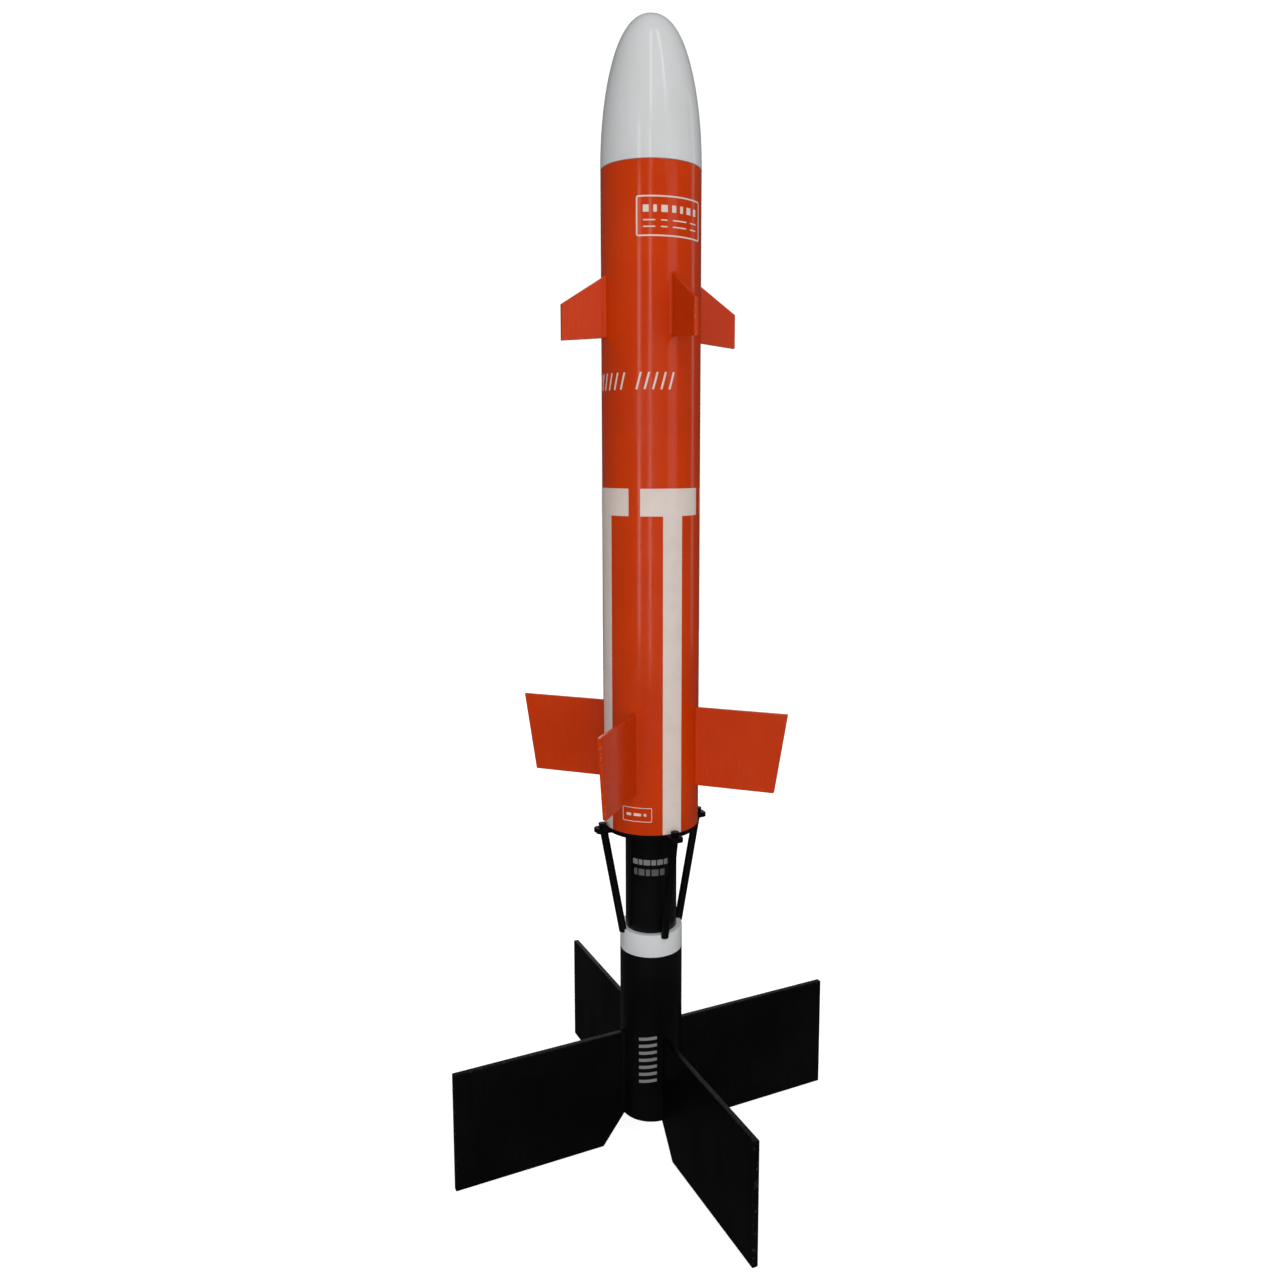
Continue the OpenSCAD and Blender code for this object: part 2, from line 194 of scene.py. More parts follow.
def tab_span(node, turn, wall_inside):
    """The inner end and the two heights of the tab that runs through the tube's wall."""
    points = points_of(node, turn)
    tab = points[points[:, 0] < wall_inside - TINY]
    return float(tab[:, 0].min()), float(tab[:, 2].min()), float(tab[:, 2].max())


# ---- Materials ----


def dimmed(colour, share):
    return tuple(share * value for value in colour)


def feed(socket, value):
    """Sets a socket, or links it when the value is another node's socket. A colour has three values."""
    if isinstance(value, bpy.types.NodeSocket):
        socket.id_data.links.new(value, socket)
    else:
        socket.default_value = (*value, 1.0) if socket.type == "RGBA" else value


def apply_settings(made, settings):
    for name, value in settings.items():
        setattr(made, name, value)


def add_node(tree, kind, inputs=(), **settings):
    """A new node with its settings, and its inputs set or linked by name or number."""
    made = tree.nodes.new("ShaderNode" + kind)
    apply_settings(made, settings)
    for name, value in dict(inputs).items():
        feed(made.inputs[name], value)
    return made


class Look:
    """A Principled material and the nodes that feed it."""

    def __init__(self, name, roughness=0.5, **sockets):
        self.material = bpy.data.materials.new(name)
        self.material.use_nodes = True
        self.tree = self.material.node_tree
        self.surface = self.tree.nodes["Principled BSDF"]
        for socket, value in {"Roughness": roughness, **sockets}.items():
            feed(self.surface.inputs[socket.replace("_", " ")], value)
        self.place = self.node("TexCoord").outputs["Object"]
        self.reliefs = []

    def node(self, kind, inputs=(), **settings):
        return add_node(self.tree, kind, inputs, **settings)

    def math(self, operation, *values):
        return self.node("Math", dict(enumerate(values)), operation=operation).outputs[0]

    def noise(self, size, stretch=(1, 1, 1), detail=3.0, place=None):
        """Noise with features about size metres across, stretched along the axes."""
        scale = [1 / (size * share) for share in stretch]
        scaled = self.node("Mapping", {"Vector": place or self.place, "Scale": scale}).outputs[0]
        return self.node("TexNoise", {"Vector": scaled, "Scale": 1.0, "Detail": detail}).outputs[0]

    def attribute(self, name, output="Fac"):
        return self.node("Attribute", attribute_name=name).outputs[output]

    def between(self, value, low, high, bottom=0.0, top=1.0):
        """value from low to high as a smooth step from bottom to top."""
        inputs = {"Value": value, "From Min": low, "From Max": high, "To Min": bottom, "To Max": top}
        return self.node("MapRange", inputs, interpolation_type="SMOOTHSTEP").outputs[0]

    def mix(self, share, first, second):
        """first at share 0, second at share 1; each is a colour or a socket."""
        return self.node("Mix", {0: share, 6: first, 7: second}, data_type="RGBA").outputs[2]

    def part(self, axis, place=None):
        return self.node("SeparateXYZ", {0: place or self.place}).outputs[axis]

    def spiral(self, pitch, width):
        """1 on a helical seam round the rocket's axis, and 0 away from it."""
        turn = self.math("ARCTAN2", self.part(1), self.part(0))
        turns = self.math("DIVIDE", turn, 2 * pi)
        rise = self.math("DIVIDE", self.part(2), pitch)
        phase = self.math("FRACT", self.math("ADD", turns, rise))
        away = self.math("MULTIPLY", self.math("ABSOLUTE", self.math("SUBTRACT", phase, 0.5)), pitch)
        return self.between(away, 0.0, width, 1.0, 0.0)

    def relief(self, pattern, height):
        """Adds a pattern from 0 to 1 to the surface's relief, height metres tall."""
        self.reliefs.append(self.math("MULTIPLY", pattern, height))

    def colour(self, value):
        feed(self.surface.inputs["Base Color"], value)

    def tint(self, share, first, second):
        self.colour(self.mix(share, first, second))

    def roughness(self, value):
        feed(self.surface.inputs["Roughness"], value)

    def done(self):
        """Joins the reliefs into one bump and returns the material."""
        total = self.reliefs[0]
        for relief in self.reliefs[1:]:
            total = self.math("ADD", total, relief)
        bump = self.node("Bump", {"Strength": 1.0, "Distance": 1.0, "Height": total})
        feed(self.surface.inputs["Normal"], bump.outputs[0])
        return self.material


def gloss_paint(
    name, roughness, light, deep, specular=0.5, dusty=0.2, grain=False, under=None,
    seam_pitch=None, mould_seam=False, bare_within=0.0,
):
    """Sprayed paint: orange peel, slow changes of tone, smears, dust, and wear where "edge" is 1.

    A tube is bare paper where it is nearer to the rocket's axis than bare_within.
    """
    look = Look(name, Specular_IOR_Level=specular)
    tone = look.noise(90 * MM, detail=4)
    colour = look.mix(look.between(tone, 0.3, 0.7), deep, light)
    if grain:
        along = look.noise(0.7 * MM, (1, 1, 28), place=look.attribute("local", "Vector"))
        colour = look.mix(look.between(along, 0.45, 0.7, 0.0, 0.8), colour, deep)
        look.relief(along, 9e-6)
    dust = look.between(look.noise(0.5 * MM, detail=1), 0.74, 0.8)
    colour = look.mix(look.math("MULTIPLY", dust, dusty), colour, WHITE["deep"])
    if under:
        worn = look.between(look.noise(2.5 * MM, detail=4), 0.56, 0.68)
        worn = look.math("MULTIPLY", worn, look.attribute("edge"))
        colour = look.mix(look.math("MULTIPLY", worn, 0.7), colour, under)
    smear = look.between(look.noise(25 * MM, (1, 1, 2.5)), 0.45, 0.7, roughness, roughness + 0.07)
    scratch = look.between(look.noise(0.35 * MM, (1, 1, 60), detail=1), 0.7, 0.76, 0.0, 0.15)
    rough = look.math("ADD", smear, scratch)
    if bare_within:
        flat = look.node("CombineXYZ", {axis: look.part(axis) for axis in (0, 1)})
        away = look.node("VectorMath", {0: flat.outputs[0]}, operation="LENGTH")
        bare = look.between(away.outputs["Value"], bare_within - 0.2 * MM, bare_within, 1.0, 0.0)
        fibre = look.noise(0.5 * MM, (6, 6, 1), detail=5)
        colour = look.mix(bare, colour, look.mix(fibre, dimmed(BARE_PAPER, 0.7), BARE_PAPER))
        rough = look.math("ADD", rough, look.math("MULTIPLY", bare, 0.6))
    look.colour(colour)
    look.roughness(rough)
    look.relief(look.noise(1.6 * MM, detail=2), 3e-6)
    look.relief(look.noise(18 * MM, detail=1), 12e-6)
    if seam_pitch:
        look.relief(look.spiral(seam_pitch, 0.9 * MM), -14e-6)
    if mould_seam:
        away = look.math("ABSOLUTE", look.part(1))
        look.relief(look.between(away, 0.0, 0.5 * MM, 1.0, 0.0), 15e-6)
    return look.done()


def vinyl(name, colour):
    """Thin self-adhesive vinyl: satin, with faint bubbles and lifted specks."""
    look = Look(name, roughness=0.3)
    blotch = look.between(look.noise(14 * MM, detail=4), 0.4, 0.7)
    look.tint(blotch, colour, dimmed(colour, 0.94))
    look.relief(look.between(look.noise(3 * MM, detail=1), 0.68, 0.76), 20e-6)
    look.relief(look.noise(0.4 * MM, detail=1), 2e-6)
    return look.done()


def plywood(name):
    """Birch plywood: grain along X on the faces, and thin laminations on the edges."""
    look = Look(name, roughness=0.7)
    grain = look.noise(0.8 * MM, (25, 1, 1), detail=5)
    face = look.mix(grain, (0.55, 0.38, 0.20), (0.70, 0.53, 0.32))
    layer = look.math("FRACT", look.math("DIVIDE", look.part(2), 1.1 * MM))
    ply = look.mix(look.between(layer, 0.4, 0.6), (0.30, 0.18, 0.09), (0.58, 0.42, 0.24))
    upright = look.math("ABSOLUTE", look.part(2, look.node("TexCoord").outputs["Normal"]))
    look.tint(look.between(upright, 0.4, 0.8), ply, face)
    look.relief(grain, 25e-6)
    return look.done()


def metal(name, colour, roughness, line_pitch=None):
    """Bare or anodised metal with fine scratches, and turning lines if it was turned."""
    look = Look(name, Metallic=1.0)
    look.tint(look.noise(6 * MM, detail=4), colour, dimmed(colour, 0.75))
    look.roughness(look.between(look.noise(3 * MM, detail=4), 0.3, 0.7, roughness, roughness + 0.15))
    look.relief(look.noise(0.2 * MM, (1, 1, 8), detail=2), 4e-6)
    if line_pitch:
        turning = look.math("FRACT", look.math("DIVIDE", look.part(2), line_pitch))
        look.relief(look.math("ABSOLUTE", look.math("SUBTRACT", turning, 0.5)), 12e-6)
    return look.done()


def paper(name, colour, seam_pitch):
    """Spiral-wound kraft paper: fibres, flecks and the seam."""
    look = Look(name, roughness=0.75)
    fibre = look.noise(0.5 * MM, (6, 6, 1), detail=5)
    dark = dimmed(colour, 0.72)
    seam = look.spiral(seam_pitch, 0.5 * MM)
    look.tint(look.math("MULTIPLY", seam, 0.5), look.mix(fibre, dark, colour), dark)
    look.relief(fibre, 15e-6)
    look.relief(seam, -60e-6)
    return look.done()


def grains(name, colour, size, height, roughness=0.85):
    """A pressed or cast mass: lumps, grains and pore holes of about that size, with painted shade where the
    relief sinks.
    """
    look = Look(name, roughness=roughness)
    lump = look.noise(size, detail=6)
    dark = dimmed(colour, 0.6)
    # Painted shade: each pore, and each low place between lumps, is coloured darker where the relief is low.
    shaded_pores = look.between(look.noise(0.6 * size, detail=2), 0.25, 0.4)
    look.tint(shaded_pores, dark, look.mix(lump, dark, colour))
    look.relief(lump, height)
    look.relief(shaded_pores, 0.5 * height)
    return look.done()


def plastic(name, colour, roughness):
    """Moulded plastic with a fine texture and a few scuffs."""
    look = Look(name)
    scuff = look.between(look.noise(0.6 * MM, (1, 8, 1), detail=2), 0.66, 0.74)
    pale = tuple(0.8 * value + 0.1 for value in colour)
    look.tint(look.math("MULTIPLY", scuff, 0.4), colour, pale)
    look.roughness(look.math("ADD", look.math("MULTIPLY", scuff, 0.2), roughness))
    look.relief(look.noise(0.3 * MM, detail=2), 5e-6)
    return look.done()


def ripstop(name, colour):
    """Ripstop nylon: a fine weave with a grid of heavier threads."""
    look = Look(name, roughness=0.45, Sheen_Weight=0.3, Sheen_Roughness=0.4)
    dark = dimmed(colour, 0.75)
    grid, weave = 5 * MM, 0.5 * MM
    across = look.math("MULTIPLY", look.math("ARCTAN2", look.part(1), look.part(0)), 30 * MM)
    threads = []
    for place in (look.part(2), across):
        phase = look.math("PINGPONG", place, grid / 2)
        threads.append(look.between(phase, 0.0, 0.4 * MM, 1.0, 0.0))
        look.relief(look.math("PINGPONG", look.math("DIVIDE", place, weave), 0.5), 30e-6)
    heavy = look.math("MAXIMUM", *threads)
    tone = look.mix(look.noise(12 * MM, detail=4), dark, colour)
    look.tint(look.math("MULTIPLY", heavy, 0.6), tone, dark)
    look.relief(heavy, 60e-6)
    look.relief(look.noise(6 * MM, detail=4), 300e-6)
    return look.done()


def tissue(name, colour):
    """Flame-proof tissue: soft fibres, blotches and small wrinkles."""
    look = Look(name, roughness=0.9, Sheen_Weight=0.2)
    fibre = look.noise(0.4 * MM, (5, 1, 1), detail=5)
    blotch = look.between(look.noise(9 * MM, detail=5), 0.4, 0.65)
    look.tint(blotch, look.mix(fibre, dimmed(colour, 0.8), colour), colour)
    look.relief(fibre, 20e-6)
    look.relief(look.noise(2.5 * MM, detail=4), 200e-6)
    return look.done()


def make_paints():
    """The materials by name, which is the name of a slot in the record wherever a slot has only one."""
    wall_middle = sum(radii("body_tube")) / 2
    spiral = {"seam_pitch": 104 * MM, "bare_within": wall_middle}
    wood = {"grain": True, "under": SANDED_PRIMER, "specular": 0.3}
    return {
        "orange_tube": gloss_paint("orange_tube_paint", 0.14, **spiral, **ORANGE),
        "orange_wood": gloss_paint("orange_wood_paint", 0.2, **wood, **ORANGE),
        "white_plastic": gloss_paint("white_nose_paint", 0.12, mould_seam=True, **WHITE),
        "white_wood": gloss_paint("white_collar_paint", 0.3, **WHITE),
        "white_vinyl": vinyl("white_vinyl", (0.87, 0.75, 0.68)),
        "grey_vinyl": vinyl("grey_vinyl", (0.27, 0.27, 0.27)),
        "dim_vinyl": vinyl("dim_vinyl", (0.13, 0.13, 0.13)),
        "black_tube": gloss_paint("black_tube_paint", 0.3, seam_pitch=66 * MM, specular=0.25, **BLACK),
        "black_wood": gloss_paint("black_dowel_paint", 0.4, specular=0.2, **BLACK_WOOD),
        "black_fin": gloss_paint("black_fin_paint", 0.42, specular=0.12, **BLACK_WOOD),
        "black_inside": gloss_paint("black_disc_paint", 0.5, specular=0.15, **BLACK),
        "plywood": plywood("birch_plywood"),
        "zinc_steel": metal("zinc_plated_steel", (0.82, 0.83, 0.86), 0.42),
        "anodised_cap": metal("anodised_aluminium", (0.10, 0.10, 0.11), 0.32, line_pitch=0.35 * MM),
        "retainer_black": plastic("retainer_plastic", (0.012, 0.012, 0.012), 0.4),
        "cap_plastic": plastic("ejection_cap_plastic", (0.42, 0.02, 0.015), 0.3),
        "kraft_tube": paper("kraft_paper", (0.40, 0.25, 0.13), 48 * MM),
        "motor_paper": paper("motor_case_paper", (0.46, 0.32, 0.18), 30 * MM),
        "ballast_clay": grains("ballast_clay", (0.22, 0.21, 0.20), 4 * MM, 300e-6),
        "nozzle_clay": grains("nozzle_clay", (0.26, 0.24, 0.21), 0.8 * MM, 60e-6),
        "propellant": grains("propellant", (0.035, 0.035, 0.035), 0.5 * MM, 50e-6, 0.6),
        "delay_charge": grains("delay_charge", (0.20, 0.20, 0.19), 0.4 * MM, 40e-6),
        "parachute_nylon": ripstop("ripstop_nylon", (0.62, 0.07, 0.02)),
        "wadding_cloth": tissue("flame_proof_tissue", (0.68, 0.56, 0.34)),
    }


# ---- Mesh tools ----


def spaced(first, last, steps):
    """Values from first to last in even steps."""
    return [first + (last - first) * step / steps for step in range(steps + 1)]


def even_angles(steps):
    return spaced(0, 2 * pi, steps)[:-1]


def rounded(corners, steps=ROUND_STEPS):
    """A closed outline whose corners (x, y, radius) are rounded where the radius isn't 0."""
    outline = []
    for index, (x, y, radius) in enumerate(corners):
        here = np.array((x, y))
        if radius == 0:
            outline.append((x, y))
            continue
        arms = [np.array(corners[other][:2]) - here for other in (index - 1, (index + 1) % len(corners))]
        before, after = (arm / np.linalg.norm(arm) for arm in arms)
        half = acos(max(-1.0, min(1.0, float(before @ after)))) / 2
        middle = (before + after) / np.linalg.norm(before + after)
        centre = here + middle * radius / sin(half)
        first = here + before * radius / tan(half) - centre
        last = here + after * radius / tan(half) - centre
        sweep = pi - 2 * half
        for share in spaced(0, 1, steps):
            spoke = first * sin((1 - share) * sweep) + last * sin(share * sweep)
            outline.append(tuple(centre + spoke / sin(sweep)))
    return outline


def off_middle(angle, count):
    """How far an angle is from the nearest of count even directions, the first of which is 0."""
    pitch = 2 * pi / count
    return (angle + pitch / 2) % pitch - pitch / 2


def revolve(outline, angles, shape=None):
    """Points, rings of point numbers and faces of a closed (radius, height) outline turned about Z.

    shape(radius, height, angle) may change a radius. A radius of 0 makes one point on the axis.
    """
    points, rings, faces = [], [], []
    for radius, height in outline:
        if radius < TINY:
            rings.append([len(points)] * len(angles))
            points.append((0.0, 0.0, height))
            continue
        rings.append([len(points) + step for step in range(len(angles))])
        for angle in angles:
            wide = shape(radius, height, angle) if shape else radius
            points.append((*polar(wide, angle), height))
    for low, high in zip(rings, rings[1:] + rings[:1]):
        for step in range(len(angles)):
            after = (step + 1) % len(angles)
            face = list(dict.fromkeys((low[step], low[after], high[after], high[step])))
            faces.append(face if len(face) > 2 else None)
    return points, rings, faces


def grid_faces(rows, count, start=0, rows_close=False, row_closes=True):
    """Faces between rows of count points. A row may close on itself, and the last row may join the first."""
    faces = []
    for row in range(rows if rows_close else rows - 1):
        base, above = start + row * count, start + (row + 1) % rows * count
        for step in range(count if row_closes else count - 1):
            after = (step + 1) % count
            faces.append([base + step, base + after, above + after, above + step])
    return faces


def loft(rows, count):
    """Faces that join rows of count points each into a closed form with flat ends."""
    return grid_faces(rows, count) + [list(range(count)), list(range((rows - 1) * count, rows * count))]


def extruded(work, faces):
    """The new vertices of faces that are extruded in place."""
    grown = bmesh.ops.extrude_face_region(work, geom=faces)["geom"]
    return [part for part in grown if isinstance(part, bmesh.types.BMVert)]


def joined(parts):
    """Several pairs of points and faces as one pair."""
    points, faces = [], []
    for part_points, part_faces in parts:
        start = len(points)
        points += part_points
        faces += [[start + index for index in face] for face in part_faces if face]
    return points, faces


def mesh_of(name, shape):
    """A mesh of a bmesh, or of a pair of points and faces whose normals are then turned outwards."""
    mesh = bpy.data.meshes.new(name)
    work = shape
    if isinstance(shape, tuple):
        points, faces = shape
        mesh.from_pydata(points, [], [face for face in faces if face])
        work = bmesh.new()
        work.from_mesh(mesh)
        bmesh.ops.recalc_face_normals(work, faces=work.faces[:])
    work.to_mesh(mesh)
    work.free()
    return mesh


def linked(name, data):
    """A new object in the scene."""
    made = bpy.data.objects.new(name, data)
    bpy.context.scene.collection.objects.link(made)
    return made


def add_piece(name, shape, paint, nodes=(), body="airframe", sharp=SHARP_ANGLE):
    """A painted piece that rides on a body and stands for CAD nodes."""
    mesh = mesh_of(name, shape)
    mesh.shade_smooth()
    mesh.set_sharp_from_angle(angle=radians(sharp))
    mesh.materials.append(paints[paint])
    piece = linked(name, mesh)
    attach(piece, body)
    if nodes:
        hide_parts(*nodes)
    return piece


def add_turned(name, outline, paint, nodes, body="airframe", steps=TURN_STEPS, shape=None):
    """A piece made by turning a closed (radius, height) outline about Z."""
    points, _, faces = revolve(outline, even_angles(steps), shape)
    return add_piece(name, (points, faces), paint, nodes, body)


def add_modifier(piece, name, kind, **settings):
    apply_settings(piece.modifiers.new(name, kind), settings)


def cut(piece, cutters):
    """Cuts the cutters' shapes out of a piece."""
    for cutter in cutters:
        add_modifier(piece, "socket", "BOOLEAN", operation="DIFFERENCE", solver="EXACT", object=cutter)
    bpy.context.view_layer.update()
    graph = bpy.context.evaluated_depsgraph_get()
    cut_mesh = bpy.data.meshes.new_from_object(piece.evaluated_get(graph))
    piece.modifiers.clear()
    piece.data = cut_mesh
    cut_mesh.set_sharp_from_angle(angle=radians(SHARP_ANGLE))


# ---- Tubes, nose and collar ----


def tube_outline(inner, outer, low, high, outside=(), inside=()):
    """The outline of a tube's wall, with rounded rims and any other corners on its two sides."""
    rim = min(RIM_ROUND, RIM_SHARE * (outer - inner))
    corners = [(inner, low, rim), (outer, low, rim), *outside, (outer, high, rim), (inner, high, rim)]
    return rounded([*corners, *inside])


def slotted_tube(node, slot_turns, slot_half, slot_low, slot_high):
    """Points and faces of a tube with rounded rims and one slot through its wall at each turn."""
    inner, outer, low, high = extent(node)
    slot_corners = [(outer, slot_low), (outer, slot_high), (inner, slot_high), (inner, slot_low)]
    sharp = [(*corner, 0) for corner in slot_corners]
    outline = tube_outline(inner, outer, low, high, sharp[:2], sharp[2:])
    half = asin(slot_half / outer)
    between = TURN_STEPS // len(slot_turns)
    gap = 2 * pi / len(slot_turns) - 2 * half
    angles, slot_steps = [], []
    for turn in slot_turns:
        centre = radians(turn)
        slot_steps.append(len(angles))
        angles.append(centre - half)
        angles += spaced(centre + half, centre + half + gap, between)[:-1]
    points, rings, faces = revolve(outline, angles)
    rows = [outline.index(corner) for corner in slot_corners]
    out_low, out_high, in_high, in_low = (rings[row] for row in rows)
    for step in slot_steps:
        after = step + 1
        for row in (rows[0], rows[2]):
            faces[row * len(angles) + step] = None
        for side in (step, after):
            faces.append([out_low[side], out_high[side], in_high[side], in_low[side]])
        for out, inside in ((out_low, in_low), (out_high, in_high)):
            faces.append([out[step], out[after], inside[after], inside[step]])
    return points, faces


def make_nose():
    """The hollow nose cone, its shoulder, and a rounded lip above the body tube."""
    power, wall, steps, join = 0.84, 1.6 * MM, 48, 2
    shoulder_low, tip = heights("nose_cone")
    inner_radius, outer_radius = radii("body_tube")
    base = heights("body_tube")[1] + 0.3 * MM
    shoulder = inner_radius - 0.3 * MM

    def curve(first, last, radius, length):
        angles = map(radians, spaced(first, last, steps))
        return [(radius * max(0.0, cos(angle)) ** power, base + length * sin(angle)) for angle in angles]

    outer = curve(0, 90, outer_radius, tip - base)
    inner = curve(90, join, outer_radius - wall, tip - base - wall)
    top = inner[-1][1]
    corners = [
        (shoulder - wall, shoulder_low, 0.4 * MM), (shoulder, shoulder_low, 0.7 * MM),
        (shoulder, base, 0), (outer_radius, base, 0.35 * MM),
        (*outer[2], 0), (shoulder - wall, top, 0),
    ]
    edge = rounded(corners)[:-2]
    outer[-1] = (0.0, tip)
    inner[0] = (0.0, tip - wall)
    outline = edge + outer[2:] + inner + [(shoulder - wall, top)]
    add_turned("nose_shell", outline, "white_plastic", ["nose_cone"], "nose")


def make_tubes():
    """The orange body tube, the booster tube and the slim stuffer tube."""
    for place, plate, turns, paint in (
        ("body", "wing_1", WING_TURNS, "orange_tube"),
        ("booster", "booster_fin_1", FIN_TURNS, "black_tube"),
    ):
        node = f"{place}_tube"
        inner, outer = radii(node)
        thickness = plate_outline(plate, turns[0], outer)[1]
        _, low, high = tab_span(plate, turns[0], inner)
        shape = slotted_tube(node, turns, thickness / 2, low, high)
        add_piece(f"{place}_shell", shape, paint, [node])
    add_turned("stuffer_shell", tube_outline(*extent("stuffer_tube")), "black_tube", ["stuffer_tube"])


def make_collar():
    """Returns the white ring on the booster tube, with its spigot inside the tube."""
    inner, outer, low, high = extent("booster_collar")
    ledge = heights("booster_tube")[1]
    spigot = radii("booster_tube")[0]
    corners = [
        (inner, low, 0), (spigot, low, 0.4 * MM), (spigot, ledge, 0),
        (outer, ledge, 0.3 * MM), (outer, high, 0.8 * MM), (inner, high, 0),
    ]
    return add_turned("collar_ring", rounded(corners), "white_wood", ["booster_collar"])


# ---- Plates: canards, wings and fins ----


def plate_shape(outline, thickness, turn, bevel, tab=None):
    """A plate that stands out from a tube, with rounded edges.

    The attribute "edge" is 1 on the rounded rim and 0 away from it, and "local" is the place before the turn.
    """
    root = outline[0][0]
    corners = list(outline)
    if tab:
        inner, low, high = tab
        corners += [(root, high), (inner, high), (inner, low), (root, low)]
    work = bmesh.new()
    front = work.faces.new([work.verts.new((x, -thickness / 2, z)) for x, z in corners])
    for vertex in extruded(work, [front]):
        vertex.co.y += thickness
    bmesh.ops.recalc_face_normals(work, faces=work.faces[:])
    free = [edge for edge in work.edges if max(vertex.co.x for vertex in edge.verts) > root + bevel]
    bmesh.ops.bevel(work, geom=free, offset=bevel, segments=3, profile=0.5, affect="EDGES")
    sides = sorted(work.faces, key=lambda face: face.calc_area())[-2:]
    bmesh.ops.inset_individual(work, faces=sides, thickness=WEAR_BAND)
    edge_layer = work.verts.layers.float.new("edge")
    local_layer = work.verts.layers.float_vector.new("local")
    inside = {vertex for face in sides for vertex in face.verts}
    for vertex in work.verts:
        at_root = vertex.co.x < root + bevel
        vertex[edge_layer] = 0.0 if vertex in inside or at_root else 1.0
        vertex[local_layer] = vertex.co
        vertex.co.x, vertex.co.y = turned(vertex.co.x, vertex.co.y, turn)
    return work


def fillet_arc(centre_x, centre_y, fillet, first, corner):
    """A fillet's arc from the angle first to the tube's wall, closed by a point in the corner."""
    last = -pi + atan2(centre_y, centre_x)
    arc = [polar(fillet, angle) for angle in spaced(first, last, FILLET_STEPS)]
    return [(centre_x + x, centre_y + y) for x, y in arc] + [corner]


def plate_fillet(tube, half):
    """The cross section, for a given radius, of a fillet in the corner of a tube and a plate's +Y face."""
    corner = (sqrt(tube**2 - half**2) - TINY, half - TINY)

    def section(fillet):
        centre_x = sqrt((tube + fillet) ** 2 - (half + fillet) ** 2)
        return fillet_arc(centre_x, half + fillet, fillet, -pi / 2, corner)

    return section


def tube_fillet(tube, side_tube):
    """The same for the corner of a tube and a smaller tube that lies along its +X side."""
    apart = tube + side_tube

    def section(fillet):
        reach = tube + fillet
        centre_x = (reach**2 + apart**2 - (side_tube + fillet) ** 2) / (2 * apart)
        centre_y = sqrt(reach**2 - centre_x**2)
        first = atan2(-centre_y, apart - centre_x)
        return fillet_arc(centre_x, centre_y, fillet, first, (tube - TINY, 0.0))

    return section


def fillet_strip(section, fillet, low, high, turn, side):
    """Points and faces of one fillet from low to high, thinner towards its ends."""
    taper, thinnest = 5, 0.08
    ends = [FILLET_TAPER * share**2 for share in spaced(0, 1, taper)]
    stations = [low + end for end in ends] + [high - end for end in reversed(ends)]
    points = []
    for height in stations:
        near = min(1.0, min(height - low, high - height) / FILLET_TAPER)
        size = fillet * max(thinnest, sqrt(1 - (1 - near) ** 2))
        points += [(*turned(x, side * y, turn), height) for x, y in section(size)]
    return points, loft(len(stations), len(points) // len(stations))


def make_plates(family, node_family, turns, tube_node, paint, bevel, fillet, tabs):
    """The plates of one family and the glue fillets along their roots."""
    wall, tube = radii(tube_node)
    strips = []
    for number, turn in enumerate(turns, 1):
        node = f"{node_family}_{number}"
        outline, thickness = plate_outline(node, turn, tube)
        tab = tab_span(node, turn, wall) if tabs else None
        shape = plate_shape(outline, thickness, turn, bevel, tab)
        plate = add_piece(f"{family}_plate_{number}", shape, paint, [node])
        add_modifier(plate, "flat_faces", "WEIGHTED_NORMAL", keep_sharp=True, weight=100)
        low, high = outline[0][1], outline[-1][1]
        for side in (-1, 1):
            strips.append(fillet_strip(plate_fillet(tube, thickness / 2), fillet, low, high, turn, side))
    add_piece(f"{family}_fillets", joined(strips), paint, sharp=60)


# ---- Struts and their plate ----


def make_struts():
    """Returns four dowels that lean outwards, cut level, with a softened upper edge."""
    ring_steps, rows = 48, 12
    soft = 0.5 * MM
    dowels = []
    for number, turn in enumerate(FIN_TURNS, 1):
        node = f"strut_{number}"
        points = points_of(node, turn)
        low, high = heights(node)
        foot, head = (at_height(points, level)[:, 0] for level in (low, high))
        foot_x = (foot.min() + foot.max()) / 2
        head_x = (head.min() + head.max()) / 2
        along, across = np.ptp(foot) / 2, np.ptp(points[:, 1]) / 2
        sections = [(height, 1.0) for height in spaced(low, high - soft, rows)]
        for angle in spaced(0, pi / 2, ROUND_STEPS)[1:]:
            share = 1 - soft / across * (1 - cos(angle))
            sections.append((high - soft + soft * sin(angle), share))
        made, local = [], []
        for height, share in sections:
            centre = foot_x + (head_x - foot_x) * (height - low) / (high - low)
            for angle in even_angles(ring_steps):
                x = along * share * cos(angle)
                y = across * share * sin(angle)
                made.append((*turned(centre + x, y, turn), height))
                local.append((x, y, height + turn * MM))
        shape = made, loft(len(sections), ring_steps)
        dowels.append(add_piece(f"strut_dowel_{number}", shape, "black_wood", [node]))
        layer = dowels[-1].data.attributes.new("local", "FLOAT_VECTOR", "POINT")
        layer.data.foreach_set("vector", np.array(local, np.float32).ravel())
    return dowels


